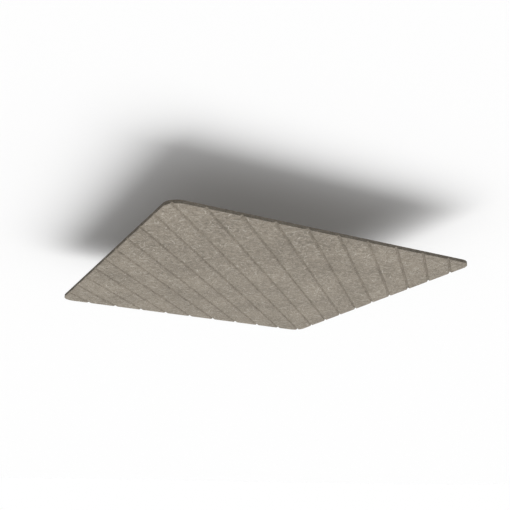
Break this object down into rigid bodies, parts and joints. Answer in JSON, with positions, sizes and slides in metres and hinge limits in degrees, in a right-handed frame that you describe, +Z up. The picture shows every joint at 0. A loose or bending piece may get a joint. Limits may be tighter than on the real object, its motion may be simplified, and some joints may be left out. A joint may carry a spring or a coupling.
{
  "type": "acoustic ceiling tile",
  "caption": "Square acoustic ceiling tile of pressed felt with rounded corners and diagonal V grooves across its lower face, hung or glued under a ceiling by its flat back.",
  "frame": {"origin": "centre of the flat back face, the one that faces the ceiling", "axes": "+Z points up at the ceiling, X and Y lie along the tile's sides, and the grooves run along X = Y"},
  "size_m": [1.2, 1.2, 0.012],
  "materials": {
    "felt": "matte"
  },
  "bodies": {
    "root": {"felt_tile": "felt"}
  },
  "joints": []
}
